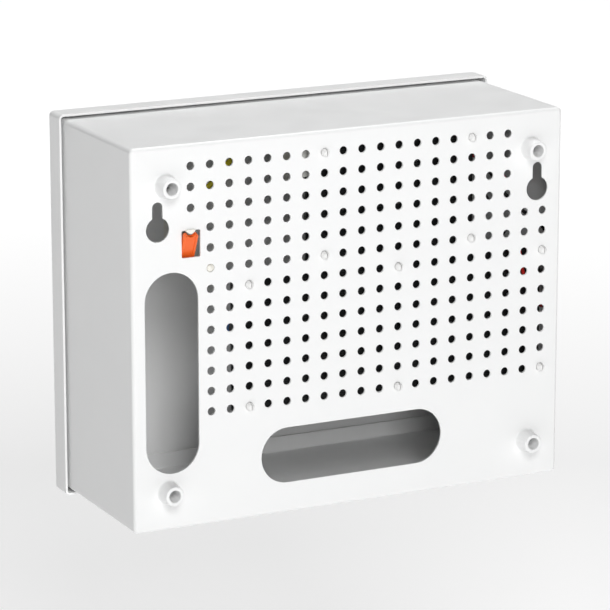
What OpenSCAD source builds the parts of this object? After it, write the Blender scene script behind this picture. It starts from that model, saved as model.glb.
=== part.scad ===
// Wireless router in a flat wall box, hung with its perforated back plate towards the wall.
// Origin: middle of the four distance sleeves, on the wall plane. +Y points into the wall, +Z up.

/* [Case] */
// Width of the case, left to right
case_w = 231; // [225:1:260]
// Height of the case
case_h = 186.5; // [184:0.5:220]
// Depth of the case, from the outside of the back plate to its front edge
case_d = 90.5; // [80:0.5:120]
// Thickness of the sheet
sheet = 1.2; // [0.8:0.1:1.5]
// Width of the lip folded inwards round the front
lip_w = 8; // [5:1:12]

/* [Cover] */
// Gap between the case and the rim of the cover
cover_gap = 1.3; // [1:0.1:2]
// Depth of the rim of the cover
rim_d = 14; // [10:1:18]
// Gap between the front edge of the case and the inside of the cover
cover_clear = 1.3; // [1:0.1:2]

/* [Wall fixing] */
// Distance between the sleeves, left to right
sleeve_dx = 195.5; // [180:0.5:200]
// Distance between the sleeves, up and down
sleeve_dz = 148.7; // [140:0.1:160]
// Height of the sleeves, which is the gap behind the case
sleeve_h = 8; // [5:1:15]
// Bore of the sleeves
sleeve_bore_d = 5.8; // [4.6:0.1:6]
// Distance between the keyholes
keyhole_dx = 203.8; // [195:0.1:206]
// Round end of a keyhole
keyhole_d = 11.75; // [9:0.25:13]
// Neck of a keyhole
keyhole_neck = 5.2; // [4:0.1:6]

/* [Perforation] */
// Pitch of the grid of holes
pitch = 10; // [10:1:10]
// Diameter of the grid holes
hole_d = 4; // [3.5:0.1:4.5]

/* [Cable slots] */
// Width of both slots
slot_w = 27.5; // [20:0.5:28]
// Length of both slots
slot_l = 98; // [60:1:98]

/* [Boards] */
// Gap between the back plate and the boards
post_h = 8.8; // [6:0.2:12]
// Thickness of the boards
board_t = 1.6; // [1:0.1:2]

/* [Hidden] */
$fn = 48;
far = 400;

// Sheet positions along Y
plate_y = -sleeve_h;
inner_y = plate_y - sheet;
edge_y = plate_y - case_d;
cover_in_y = edge_y - cover_clear;
cover_y = cover_in_y - sheet;
rim_y = cover_y + rim_d;
inner_w = case_w - 2 * sheet;
inner_h = case_h - 2 * sheet;
cover_w = case_w + 2 * (cover_gap + sheet);
cover_h = case_h + 2 * (cover_gap + sheet);

// Grid of holes: columns run towards -X and rows run down
grid_x0 = 94.9;
grid_z0 = 92.7;
function grid_x(column) = grid_x0 - pitch * column;
function grid_z(row) = grid_z0 - pitch * row;
grid_cells = [for (column = [1:20]) for (row = [1:13])
    if ((column == 1 && row <= 3) || (column > 1 && column < 19) || (column > 18 && row > 4))
        [grid_x(column), grid_z(row)]];

// Cut-outs of the back plate
sleeve_spots = [for (sx = [-1, 1]) for (sz = [-1, 1]) [sx * sleeve_dx / 2, sz * sleeve_dz / 2]];
sleeve_tip_r = 4.7;
sleeve_foot_r = 5.3;
sleeve_neck_r = 3.8;
sleeve_flange_r = 4.4;
keyhole_z = 53.8;
keyhole_top = 66.95;
upright_slot = [95.15, -16.45];
level_slot = [-0.4, -64.3];
window = [84.9, 45.45];
window_size = [9.5, 13];

// Hinge on the -X side
hinge_x = -case_w / 2 - 4;
hinge_y = rim_y + 2.5;
hinge_zs = [-58, 58];
knuckle_r = 2.2;
hinge_pin_r = 1;
hinge_bore_r = 1.05;
knuckle_l = 11.8;
knuckle_step = 12.1;
leaf_t = 1.2;
leaf_l = 3 * knuckle_l + 0.6;

// Lock in the cover
lock_x = 92;
lock_r = 9.5;
plug_r = 6.5;
plug_bore_r = 6.55;
cam_y = edge_y + sheet + 0.7;
cam_t = 1.5;
cam_l = 20;
housing_y = cam_y - 0.2;
nut_t = 2.6;

// Boards, as lowest and highest corners in X and Z
board_y = inner_y - post_h;
top_y = board_y - board_t;
router_lo = [-110.1, -41.8];
router_hi = [59.4, 27.2];
power_lo = [-71.1, 28.2];
power_hi = [19.9, 87.7];
router_cells = [for (column = [4, 12, 20]) for (row = [7, 13]) [column, row]];
power_cells = [for (column = [8, 16]) for (row = [1, 6]) [column, row]];
post_r = 2.6;
post_tip_r = 1.85;
post_hole_r = 2;

// Network jacks along the lower edge of the router board
jack_w = 15.9;
jack_t = 13.4;
jack_l = 21;
jack_wall = 1.6;
jack_z = -43.5;
jack_xs = [39.5, 23, 6.5, -10, -45];

// Tamper lever in the window
lever_y = -13.5;
lever_z = 35;
lever_x = 81.9;
lever_w = 7.5;
lever_half_t = 1.1;
lever_reach = 16.3;
lever_angle = 66.2;
notch_r = 2.3;
notch_depth = 1.6;
lever_pin_r = 0.9;

// Routes of the wires, in the order that they are laid
earth_route = [[24.55, -25.9, 71.5], [29, -25.9, 71.8], [32.6, -25, 75], [33.4, -24, 80],
    [38, -23, 84], [48, -22, 84.5], [58.8, -22, 79.2], [68.8, -22, 69.2], [79, -25, 62.5],
    [92, -31, 65], [103, -34, 69], [110, -34.6, 70.4], [112.4, -36.6, 70]];
black_route_a = [[-70.8, -26, 75.6], [-74, -25.6, 75.2], [-80, -22.4, 66], [-88, -17.5, 52],
    [-99, -15.8, 41], [-108, -15.6, 34], [-112.4, -17, 28.6], [-112.6, -21, 20], [-112.4, -26, 12],
    [-110.6, -27.5, 6.4], [-108.05, -27.5, 6]];
black_route_b = [[-70.8, -26, 65.6], [-74, -26, 64.8], [-78, -24, 56], [-82, -20, 46],
    [-86, -17, 37], [-88.6, -17, 31.8], [-89.2, -20.5, 29.4], [-88.6, -24, 26], [-88, -24.6, 20.5],
    [-88, -24.5, 17.05]];
red_route = [[-70.8, -26, 70.6], [-74.4, -26.4, 70.2], [-82, -27, 66], [-90, -25.5, 60],
    [-97, -22, 50], [-97.5, -19, 40], [-95.2, -15.5, 30], [-95.8, -13.6, 21], [-97.9, -13.5, 11],
    [-102.4, -13.5, 1], [-108, -14, -6], [-112, -17, -9], [-112.4, -23, -9], [-112.2, -26.6, -5.4],
    [-110.6, -27.5, -2.4], [-108.05, -27.5, -2]];
side_lead_route = [[-84, -24.6, -28], [-88, -26, -32], [-96, -32, -42], [-103, -46, -48],
    [-107.6, -60, -48], [-110.4, -67.4, -48], [-112.4, -68, -48]];
bottom_lead_route = [[-76, -24.6, -28], [-76, -26.5, -34], [-76, -26, -46], [-76, -24, -62],
    [-76, -22, -80], [-76, -22, -90]];

// Outline in X and Z given thickness t towards the front, from the plane y
module slab(y, t) {
    translate([0, y, 0]) rotate([90, 0, 0]) linear_extrude(t) children();
}

// Outline in Y and Z given width w towards +X, from the plane x
module side_slab(x, w) {
    translate([x, 0, 0]) rotate([90, 0, 90]) linear_extrude(w) children();
}

// Block between two opposite corners
module block(lo, hi) {
    translate(lo) cube(hi - lo);
}

// Slot outline with round ends, standing upright
module slot_outline(width, length) {
    straight = length - width;
    square([width, straight], center = true);
    for (s = [-1, 1]) translate([0, s * straight / 2]) circle(d = width);
}

module keyhole_outline() {
    circle(d = keyhole_d, $fn = 64);
    neck_top = keyhole_top - keyhole_z - keyhole_neck / 2;
    translate([-keyhole_neck / 2, 0]) square([keyhole_neck, neck_top]);
    translate([0, neck_top]) circle(d = keyhole_neck);
}

// Vector along v with length 1
function unit(v) = v / norm(v);

// Point on the smooth curve through the route, between points i and i + 1
function curve_point(route, i, t) =
    let (a = route[max(i - 1, 0)], b = route[i], c = route[i + 1],
        d = route[min(i + 2, len(route) - 1)])
    0.5 * (2 * b + (c - a) * t + (2 * a - 5 * b + 4 * c - d) * t * t
        + (3 * b - a - 3 * c + d) * t * t * t);

function curve(route, steps) = concat(
    [for (i = [0:len(route) - 2]) for (s = [0:steps - 1]) curve_point(route, i, s / steps)],
    [route[len(route) - 1]]);

function tangents(path) = [for (i = [0:len(path) - 1])
    unit(path[min(i + 1, len(path) - 1)] - path[max(i - 1, 0)])];

// Normals carried along the path without twist
function carried(ts, i, n) = i == len(ts) ? []
    : let (m = unit(n - (n * ts[i]) * ts[i])) concat([m], carried(ts, i + 1, m));

// Round wire of radius r swept along the smooth curve through the route
module wire(route, r, sides = 8, steps = 4) {
    path = curve(route, steps);
    ts = tangents(path);
    ns = carried(ts, 0, [0.1, 0.3, 1]);
    last = len(path) - 1;
    points = [for (i = [0:last]) for (k = [0:sides - 1])
        let (a = 360 * k / sides)
        path[i] + r * (cos(a) * ns[i] + sin(a) * cross(ts[i], ns[i]))];
    walls = [for (i = [0:last - 1]) for (k = [0:sides - 1])
        let (n = (k + 1) % sides)
        [i * sides + k, (i + 1) * sides + k, (i + 1) * sides + n, i * sides + n]];
    near = [for (k = [0:sides - 1]) k];
    end = [for (k = [sides - 1:-1:0]) last * sides + k];
    polyhedron(points, concat([near], walls, [end]), convexity = 10);
}

// Case

module back_plate() {
    color("white") slab(plate_y, sheet) difference() {
        square([inner_w, inner_h], center = true);
        for (p = grid_cells) translate(p) circle(d = hole_d, $fn = 24);
        for (p = sleeve_spots) translate(p) circle(r = sleeve_neck_r + 0.05);
        for (s = [-1, 1]) translate([s * keyhole_dx / 2, keyhole_z]) keyhole_outline();
        translate(upright_slot) slot_outline(slot_w, slot_l);
        translate(level_slot) rotate(90) slot_outline(slot_w, slot_l);
        translate(window) square(window_size, center = true);
    }
}

module case_walls() {
    color("white") slab(plate_y, case_d) difference() {
        square([case_w, case_h], center = true);
        square([inner_w, inner_h], center = true);
    }
}

module front_lips() {
    color("white") slab(edge_y + sheet, sheet) difference() {
        square([inner_w, inner_h], center = true);
        square([inner_w - 2 * lip_w, inner_h - 2 * lip_w], center = true);
    }
}

// Cover

module front_cover() {
    color("white") difference() {
        slab(rim_y, rim_d) square([cover_w, cover_h], center = true);
        slab(rim_y + 1, rim_d + 1 - sheet)
            square([cover_w - 2 * sheet, cover_h - 2 * sheet], center = true);
        translate([lock_x, 0, 0]) slab(cover_y + 5, 10) circle(r = lock_r + 0.05, $fn = 64);
    }
}

// One knuckle of a hinge, as a tube round the pin
module knuckle(z) {
    translate([hinge_x, hinge_y, z]) difference() {
        cylinder(h = knuckle_l, r = knuckle_r, center = true);
        cylinder(h = knuckle_l + 2, r = hinge_bore_r, center = true);
    }
}

// Room for the pin, all along one hinge
module pin_room(z) {
    translate([hinge_x, hinge_y, z]) cylinder(h = leaf_l + 2, r = hinge_bore_r, center = true);
}

module hinge_case_leaves() {
    wall_x = -case_w / 2;
    color("gainsboro") for (hz = hinge_zs) {
        for (s = [-1, 1]) {
            knuckle(hz + s * knuckle_step);
            difference() {
                block([hinge_x, hinge_y - 1, hz + s * knuckle_step - knuckle_l / 2],
                    [wall_x, hinge_y + 1, hz + s * knuckle_step + knuckle_l / 2]);
                pin_room(hz);
            }
        }
        block([wall_x - leaf_t, hinge_y + 1, hz - leaf_l / 2], [wall_x, hinge_y + 20, hz + leaf_l / 2]);
    }
}

module hinge_cover_leaves() {
    rim_x = -cover_w / 2;
    color("gainsboro") for (hz = hinge_zs) {
        knuckle(hz);
        difference() {
            block([rim_x - leaf_t, cover_y + 1, hz - knuckle_l / 2],
                [rim_x, hinge_y, hz + knuckle_l / 2]);
            pin_room(hz);
        }
    }
}

module hinge_pins() {
    head_h = 1;
    color("silver") for (hz = hinge_zs) translate([hinge_x, hinge_y, hz]) {
        cylinder(h = leaf_l + 2 * head_h, r = hinge_pin_r, center = true);
        for (s = [-1, 1]) translate([0, 0, s * (leaf_l + head_h) / 2])
            cylinder(h = head_h, r = 1.7, center = true);
    }
}

// Flat rivet head standing out towards -X
module rivet(x, y, z) {
    translate([x, y, z]) rotate([0, -90, 0]) cylinder(h = 0.9, r1 = 2.4, r2 = 1.6);
}

module case_rivets() {
    color("silver") for (hz = hinge_zs) for (s = [-1, 1])
        rivet(-case_w / 2 - leaf_t, hinge_y + 13, hz + s * 11);
}

module cover_rivets() {
    color("silver") for (hz = hinge_zs) rivet(-cover_w / 2 - leaf_t, rim_y - 8, hz);
}

module lock_housing() {
    color("silver") translate([lock_x, 0, 0]) difference() {
        union() {
            slab(cover_y, 1.4) circle(r = 11.5, $fn = 64);
            slab(housing_y, housing_y - cover_y) circle(r = lock_r, $fn = 64);
        }
        slab(cover_in_y + 10, 30) circle(r = plug_bore_r, $fn = 64);
    }
}

module lock_nut() {
    color("silver") translate([lock_x, 0, 0]) slab(cover_in_y + nut_t, nut_t) difference() {
        circle(r = 12.5, $fn = 6);
        circle(r = lock_r, $fn = 64);
    }
}

module lock_plug() {
    color("gray") translate([lock_x, 0, 0]) difference() {
        slab(cam_y, cam_y - cover_y + 1.6) circle(r = plug_r, $fn = 64);
        slab(cover_y + 4, 10) square([1.6, 8], center = true);
    }
}

module lock_cam() {
    color("silver") translate([lock_x, 0, 0]) slab(cam_y + cam_t, cam_t) {
        circle(r = 6.5);
        translate([-4.5, -cam_l + 4.5]) square([9, cam_l - 4.5]);
        translate([0, -cam_l + 4.5]) circle(r = 4.5);
    }
}

module cam_screw() {
    color("silver") translate([lock_x, 0, 0]) slab(cam_y + cam_t + 2.2, 2.2) difference() {
        circle(r = 3.5);
        square([5, 0.9], center = true);
    }
}

// Fixing

module distance_sleeves() {
    color("white") for (p = sleeve_spots) translate([p[0], 0, p[1]]) difference() {
        union() {
            rotate([90, 0, 0]) cylinder(h = sleeve_h, r1 = sleeve_tip_r, r2 = sleeve_foot_r);
            slab(plate_y, sheet) circle(r = sleeve_neck_r);
            slab(inner_y, 1) circle(r = sleeve_flange_r);
        }
        slab(1, sleeve_h + sheet + 3) circle(d = sleeve_bore_d);
    }
}

// Boards

module board(lo, hi, cells) {
    slab(board_y, board_t) difference() {
        translate(lo) square(hi - lo);
        for (c = cells) translate([grid_x(c[0]), grid_z(c[1])]) circle(r = post_hole_r);
    }
}

module router_board() {
    color([0.07, 0.07, 0.08]) board(router_lo, router_hi, router_cells);
}

module power_board() {
    color([0.07, 0.07, 0.08]) board(power_lo, power_hi, power_cells);
}

// Snap-in posts: a split tip in the plate, a waisted body, and a barbed tip through the board
module posts(cells) {
    for (c = cells) translate([grid_x(c[0]), 0, grid_z(c[1])]) {
        slab(plate_y + 2.4, 1.2) circle(r = 1.6);
        slab(plate_y + 1.2, 1.2) circle(r = 2.3);
        slab(plate_y, sheet) circle(r = post_tip_r);
        slab(inner_y, 1.2) circle(r = 3.6);
        slab(inner_y - 1.2, post_h - 2.2) circle(r = post_r);
        slab(board_y + 1, 1) circle(r = 3.4);
        slab(board_y, board_t) circle(r = post_tip_r);
        slab(top_y, 1.2) circle(r = 2.3);
        slab(top_y - 1.2, 1.2) circle(r = 1.6);
    }
}

module router_posts() {
    color("white") posts(router_cells);
}

module power_posts() {
    color("white") posts(power_cells);
}

// Rows of soldered pins under the boards: start x, start z, step x, step z, count
solder_rows = [[45, -24, -1.2, 3, 2], [33, 10, -5, 0, 9], [-60, 5, -3, 0, 8], [-60, -12, -3, 0, 8],
    [-92, 14, 0, -5, 5], [12, 52, -6, 0, 9], [14, 76, 0, -5, 3], [-66, 76, 0, -5, 3],
    [-28, 72, -6, 0, 5], [-28, 44, -6, 0, 5], [0, 66, -7, 0, 3], [-12, -4, -6, 0, 5]];

module board_solder() {
    color("silver") {
        for (row = solder_rows) for (i = [0:row[4] - 1])
            translate([row[0] + i * row[2], 0, row[1] + i * row[3]])
                slab(board_y + 1.1, 1.1) circle(r = 0.9, $fn = 16);
        for (x = jack_xs) for (i = [0:3])
            translate([x - 4.5 + 3 * i, 0, -27 + 2.5 * (i % 2)])
                slab(board_y + 1.1, 1.1) circle(r = 0.8, $fn = 16);
    }
}

// Power board parts

terminal_lo = [13, 64];
terminal_hi = [24.5, 79];
terminal_h = 13;
terminal_pitch = 5;
terminal_screw_x = 18.5;
screw_top_y = top_y - 9;

// Skirt of the mains terminal, which wraps round the edge of the board
skirt_lo = [20.1, top_y - 3.8, 70.3];
skirt_hi = [29.5, board_y + 4, 85];

module mains_terminal() {
    entry_h = 3.2;
    color("whitesmoke") difference() {
        union() {
            block([terminal_lo[0], top_y - terminal_h, terminal_lo[1]],
                [terminal_hi[0], top_y, terminal_hi[1]]);
            block(skirt_lo, skirt_hi);
            block([skirt_hi[0] - 1, skirt_hi[1] - 2, 70.9], [skirt_hi[0] + 1.7, skirt_hi[1], 72.2]);
        }
        for (i = [0:2]) translate([terminal_screw_x, 0, terminal_lo[1] + terminal_pitch * (i + 0.5)])
            slab(screw_top_y, 10) circle(r = 1.9);
        for (i = [0:2]) translate([21, top_y - 8.4, terminal_lo[1] + terminal_pitch * i + 0.9])
            cube([4, 4.2, entry_h]);
    }
}

module terminal_screws() {
    slot_depth = 0.6;
    color("silver") for (i = [0:2])
        translate([terminal_screw_x, 0, terminal_lo[1] + terminal_pitch * (i + 0.5)]) difference() {
            slab(screw_top_y, 2.4) circle(r = 1.7);
            slab(screw_top_y - 2.4 + slot_depth, 2) square([3, 0.6], center = true);
        }
}

fuse_at = [-2, 59];
fuse_l = 20;
fuse_cap_l = 5;
clip_x = 8;
clip_z = 3;
clip_half_t = 0.35;

module fuse_holder() {
    color("silver") for (s = [-1, 1]) translate([fuse_at[0] + s * clip_x, 0, fuse_at[1]]) {
        block([-2, top_y - 1, -clip_z - 0.4], [2, top_y, clip_z + 0.4]);
        for (t = [-1, 1]) block([-2, top_y - 6.6, t * clip_z - clip_half_t],
            [2, top_y - 1, t * clip_z + clip_half_t]);
    }
}

module fuse() {
    color("lightblue") translate([fuse_at[0], top_y - 3.9, fuse_at[1]]) rotate([0, 90, 0]) {
        cylinder(h = fuse_l, r = 2.5, center = true);
        for (s = [-1, 1]) translate([0, 0, s * clip_x])
            cylinder(h = fuse_cap_l, r = 2.6, center = true);
    }
}

transformer_at = [-40, 62];
core_half_l = 16;
core_leg_t = 4;
core_top_y = top_y - 25;
core_low_y = top_y - 3;
yoke_z = 11.5;
yoke_half_t = 2.5;

module transformer() {
    color("dimgray") translate([transformer_at[0], 0, transformer_at[1]]) {
        for (s = [-1, 1]) block([-core_half_l, core_top_y, s * yoke_z - yoke_half_t],
            [core_half_l, core_low_y, s * yoke_z + yoke_half_t]);
        for (s = [-1, 1]) translate([s * (core_half_l - core_leg_t / 2), 0, 0])
            block([-core_leg_t / 2, core_top_y, yoke_half_t - yoke_z],
                [core_leg_t / 2, core_low_y, yoke_z - yoke_half_t]);
    }
}

module transformer_coil() {
    winding = [11.7, 8.7];
    flange = 13;
    color("khaki") translate([transformer_at[0], 0, transformer_at[1]]) {
        block([-winding[0], top_y - 23, -winding[1]], [winding[0], top_y - 5, winding[1]]);
        block([-flange, top_y - 2.9, -flange], [flange, top_y, flange]);
        block([-9, top_y - 5, -winding[1]], [9, top_y - 2.9, winding[1]]);
    }
}

module filter_capacitor() {
    color("gold") block([-16, top_y - 14, 72], [4, top_y, 80]);
}

// Standing cans: x, z, radius, height
can_list = [[-4, 42, 8, 24], [-63, 55.4, 5, 18], [-63, 43.8, 5, 18], [-50, 39, 4, 12]];

module capacitors() {
    color("darkslateblue") for (c = can_list) translate([c[0], 0, c[1]]) difference() {
        slab(top_y, c[3]) circle(r = c[2]);
        for (a = [0, 60, 120]) rotate([0, a, 0]) slab(top_y - c[3] + 0.4, 2)
            square([1.4 * c[2], 0.5], center = true);
    }
}

module power_heat_sink() {
    fin_pitch = 4.4;
    fin_t = 1.4;
    sink_h = 22;
    color("silver") translate([-27, 0, 36]) {
        block([-14, top_y - sink_h, -1], [10, top_y, 1]);
        for (i = [0:5]) block([-14 + fin_pitch * i, top_y - sink_h, 1],
            [-14 + fin_pitch * i + fin_t, top_y, 7]);
    }
}

module output_terminal() {
    color("seagreen") difference() {
        block([-70.8, top_y - 12, 63], [-62.8, top_y, 78.2]);
        for (i = [0:2]) translate([-66, 0, 65.6 + 5 * i]) slab(top_y - 10.5, 3) circle(r = 1.7);
    }
}

// Router board parts

module network_jacks() {
    color("dimgray") for (x = jack_xs) difference() {
        block([x - jack_w / 2, top_y - jack_t, jack_z], [x + jack_w / 2, top_y, jack_z + jack_l]);
        block([x - jack_w / 2 + jack_wall, top_y - jack_t + 2.6, jack_z - 1],
            [x + jack_w / 2 - jack_wall, top_y - 2.6, jack_z + jack_l - 4]);
        block([x - 3, top_y - jack_t + 1, jack_z - 1], [x + 3, top_y - jack_t + 3, jack_z + 10]);
    }
}

module jack_contacts() {
    color("gold") for (x = jack_xs) for (i = [0:7])
        translate([x - 4.45 + 1.27 * i, 0, 0]) block([-0.2, top_y - 3.2, jack_z + 3],
            [0.2, top_y - 2.6, jack_z + jack_l - 4]);
}

processor_lo = [-66, -16];
processor_w = 28;
sink_y = top_y - 1.6;

module processor() {
    color([0.1, 0.1, 0.1]) block([processor_lo[0], sink_y, processor_lo[1]],
        [processor_lo[0] + processor_w, top_y, processor_lo[1] + processor_w]);
}

module processor_heat_sink() {
    edge = 1;
    fin_pitch = 3.6;
    fin_t = 1.2;
    lo = [processor_lo[0] - edge, processor_lo[1] - edge];
    hi = [processor_lo[0] + processor_w + edge, processor_lo[1] + processor_w + edge];
    color("silver") {
        block([lo[0], sink_y - 2, lo[1]], [hi[0], sink_y, hi[1]]);
        for (i = [0:8]) block([lo[0] + fin_pitch * i, top_y - 12, lo[1]],
            [lo[0] + fin_pitch * i + fin_t, sink_y - 2, hi[1]]);
    }
}

// Chips on the board: x, z, width, height
chip_list = [[-26, 10, 12, 10], [-26, -6, 12, 10], [-6, 0, 14, 14], [16, -2, 20, 9], [18, 14, 6, 5],
    [-4, 18, 8, 5], [40, 4, 9, 9]];

module memory_chips() {
    color([0.1, 0.1, 0.1]) for (c = chip_list)
        block([c[0] - c[2] / 2, top_y - 1.2, c[1] - c[3] / 2], [c[0] + c[2] / 2, top_y, c[1] + c[3] / 2]);
}

module radio_module() {
    base_t = 1;
    color("silver") {
        block([-97, top_y - base_t, -30], [-69, top_y, -10]);
        block([-96, top_y - 3.8, -26], [-70, top_y - base_t, -11]);
        for (route = [side_lead_route, bottom_lead_route]) translate([route[0][0], 0, route[0][2]])
            slab(top_y - base_t, 1.9) circle(r = 1.3, $fn = 24);
    }
}

module power_inlet() {
    header_lo = [-92, 9];
    header_w = 8;
    wall = 1;
    color("black") {
        block([-108, top_y - 11, -6], [-98, top_y, 10]);
        difference() {
            block([header_lo[0], top_y - 6, header_lo[1]],
                [header_lo[0] + header_w, top_y, header_lo[1] + header_w]);
            block([header_lo[0] + wall, top_y - 7, header_lo[1] + wall],
                [header_lo[0] + header_w - wall, top_y - 1.5, header_lo[1] + header_w - wall]);
        }
    }
}

light_xs = [for (i = [0:4]) 44 - 7 * i];

module status_lights() {
    color("lightgreen") for (x = light_xs) translate([x, 0, 21]) {
        slab(top_y, 5) circle(r = 1.5, $fn = 24);
        slab(top_y, 1) circle(r = 1.8, $fn = 24);
        translate([0, top_y - 5, 0]) sphere(r = 1.5, $fn = 24);
    }
}

// Push switch: a square base with a hollow that the plunger slides in
module push_switch(x, z, size, height, cap_r) {
    translate([x, 0, z]) difference() {
        slab(top_y, height) square([size, size], center = true);
        slab(top_y - height + 1.6, 3) circle(r = cap_r + 0.08);
    }
}

module push_cap(x, z, height, cap_r, cap_h) {
    translate([x, 0, z]) slab(top_y - height + 0.8, cap_h + 0.8) circle(r = cap_r);
}

reset_at = [54, 13];
pairing_at = [52, -4];

module reset_switch() {
    color("dimgray") push_switch(reset_at[0], reset_at[1], 6, 3.6, 1.7);
}

module reset_button() {
    color("black") push_cap(reset_at[0], reset_at[1], 3.6, 1.7, 2.4);
}

module pairing_switch() {
    color("dimgray") push_switch(pairing_at[0], pairing_at[1], 12, 4.5, 3.4);
}

module pairing_button() {
    color("steelblue") {
        push_cap(pairing_at[0], pairing_at[1], 4.5, 3.4, 2.2);
        translate([pairing_at[0], 0, pairing_at[1]]) slab(top_y - 6.7, 3.5) circle(r = 5.2);
    }
}

// Antennas: flat printed boards on foam pads

antenna_foam_t = 1;
antenna_t = 1.8;

module antenna_side() {
    x = -inner_w / 2;
    color("darkgreen") {
        block([x, -76, -86], [x + antenna_foam_t, -64, -46]);
        block([x + antenna_foam_t, -76, -87], [x + antenna_t, -64, -45]);
    }
}

module antenna_bottom() {
    z = -inner_h / 2;
    color("darkgreen") {
        block([-101, -29, z], [-61, -17, z + antenna_foam_t]);
        block([-102, -29, z + antenna_foam_t], [-60, -17, z + antenna_t]);
    }
}

module antenna_leads() {
    color([0.15, 0.15, 0.15]) {
        wire(side_lead_route, 0.6);
        wire(bottom_lead_route, 0.6);
    }
}

// Tamper switches

far_cheek_x = 80.6;
near_cheek_x = 89.8;
cheek_t = 1.1;
holder_lo_z = 31.6;
holder_hi_z = 54;
holder_bar_z = 52.4;
holder_back_y = -26;
holder_front_y = -24.6;

module tamper_holder() {
    color("ivory") {
        side_slab(far_cheek_x, cheek_t) difference() {
            union() {
                translate([holder_back_y, holder_lo_z]) square([inner_y - 0.1 - holder_back_y, 6.4]);
                translate([holder_back_y, holder_lo_z]) square([6, holder_hi_z - holder_lo_z]);
            }
            translate([lever_y, lever_z]) circle(r = lever_pin_r + 0.05, $fn = 24);
        }
        side_slab(near_cheek_x, cheek_t) difference() {
            translate([holder_back_y, holder_lo_z])
                square([inner_y - 0.1 - holder_back_y, holder_hi_z - holder_lo_z]);
            translate([lever_y, lever_z]) circle(r = lever_pin_r + 0.05, $fn = 24);
        }
        block([far_cheek_x + cheek_t, holder_back_y, holder_lo_z],
            [near_cheek_x, holder_front_y, holder_hi_z]);
        block([far_cheek_x + cheek_t, holder_front_y, holder_bar_z],
            [near_cheek_x, inner_y - 0.1, holder_hi_z]);
        // Catch, which narrows towards the notch of the lever
        block([84.1, -12.4, 51], [87.2, -6.4, 51.8]);
        block([84.9, -12.4, 50.5], [86.4, -6.4, 51]);
        block([84.1, -12.4, 51.8], [87.2, inner_y - 0.1, holder_bar_z]);
        // Foot on the plate, with a snap in one hole of the grid
        block([71.4, inner_y - 1.8, 29.8], [far_cheek_x, inner_y, 35.6]);
        translate([grid_x(2), 0, grid_z(6)]) {
            slab(inner_y + sheet, sheet) circle(r = 1.8);
            slab(plate_y + 1, 1) circle(r = 1.9);
        }
    }
}

module wall_tamper_lever() {
    color([0.96, 0.36, 0.1]) difference() {
        side_slab(lever_x, lever_w) translate([lever_y, lever_z]) {
            circle(r = 2.2);
            rotate(lever_angle) {
                translate([0, -lever_half_t]) square([lever_reach, 2 * lever_half_t]);
                translate([lever_reach, 0]) circle(r = lever_half_t, $fn = 24);
            }
            rotate(180 - 35) translate([0, -1.3]) square([8, 2.6]);
        }
        translate([0, lever_y, lever_z]) rotate([0, 90, 0])
            cylinder(h = far, r = lever_pin_r + 0.05, $fn = 24, center = true);
        translate([0, lever_y, lever_z]) rotate([lever_angle, 0, 0])
            translate([lever_x + lever_w / 2, lever_reach + lever_half_t - notch_depth + notch_r, 0])
                cylinder(h = 6, r = notch_r, center = true);
        translate([0, lever_y, lever_z]) rotate([lever_angle, 0, 0])
            block([84.1, -3.4, -3.4], [86.9, 4.6, 9.5]);
    }
}

module lever_pin() {
    color("silver") translate([80.6, lever_y, lever_z]) rotate([0, 90, 0])
        cylinder(h = 10.3, r = lever_pin_r, $fn = 24);
}

// Torsion spring: turns side by side round the pin, and two straight legs
module lever_spring() {
    color("silver") {
        for (i = [0:3]) translate([84.5 + 0.62 * i, lever_y, lever_z]) rotate([0, 90, 0])
            rotate_extrude($fn = 24) translate([1.5, 0]) circle(r = 0.3, $fn = 16);
        translate([84.5, lever_y - 1.5, lever_z]) rotate([90, 0, 0]) cylinder(h = 9.6, r = 0.3, $fn = 16);
    }
}

module tamper_sensor() {
    color([0.12, 0.12, 0.12]) block([82.4, -24.6, 36], [89, -21.5, 44]);
}

cover_switch_at = [100, 62];
plunger_r = 2.5;
plunger_y = -84;

// Straight length of the plunger: its round tip ends 0.3 short of the closed cover
cover_switch_stop = -cover_in_y - 0.3 - plunger_r + plunger_y;

module cover_switch_holder() {
    x = cover_switch_at[0];
    z = cover_switch_at[1];
    color("ivory") difference() {
        union() {
            block([x - 5, -92, z - 5], [x + 5, -74, z + 5]);
            block([x + 5, -84, z - 5], [inner_w / 2, -81, z + 5]);
            block([inner_w / 2 - 1.6, -90, z - 5], [inner_w / 2, -75, z + 5]);
        }
        translate([x, 0, z]) slab(-80, 20) circle(r = plunger_r + 0.06);
    }
}

module cover_switch_plunger() {
    color("white") translate([cover_switch_at[0], 0, cover_switch_at[1]]) {
        slab(plunger_y, cover_switch_stop) circle(r = plunger_r);
        translate([0, plunger_y - cover_switch_stop, 0]) sphere(r = plunger_r);
    }
}

// Earthing

earth_at = [-44, 70];

module earth_stud() {
    x = inner_w / 2;
    color("silver") translate([x, earth_at[0], earth_at[1]]) rotate([0, -90, 0]) {
        cylinder(h = 10, r = 2);
        difference() {
            translate([0, 0, 2]) cylinder(h = 3.2, r = 4, $fn = 6);
            translate([0, 0, 1.9]) cylinder(h = 3.4, r = 1.9);
        }
        difference() {
            cylinder(h = 0.9, r = 4.6);
            translate([0, 0, -1]) cylinder(h = 3, r = 1.9);
        }
    }
}

module earth_terminal() {
    x = inner_w / 2 - 0.9;
    color("goldenrod") {
        translate([x, earth_at[0], earth_at[1]]) rotate([0, -90, 0]) difference() {
            cylinder(h = 0.9, r = 4.2);
            translate([0, 0, -1]) cylinder(h = 3, r = 2.06);
        }
        block([x - 0.9, earth_at[0] + 3.4, earth_at[1] - 2], [x, earth_at[0] + 7.4, earth_at[1] + 2]);
    }
}

module earth_wire() {
    color([0.75, 0.8, 0.1]) wire(earth_route, 1.3, steps = 5);
}

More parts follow.
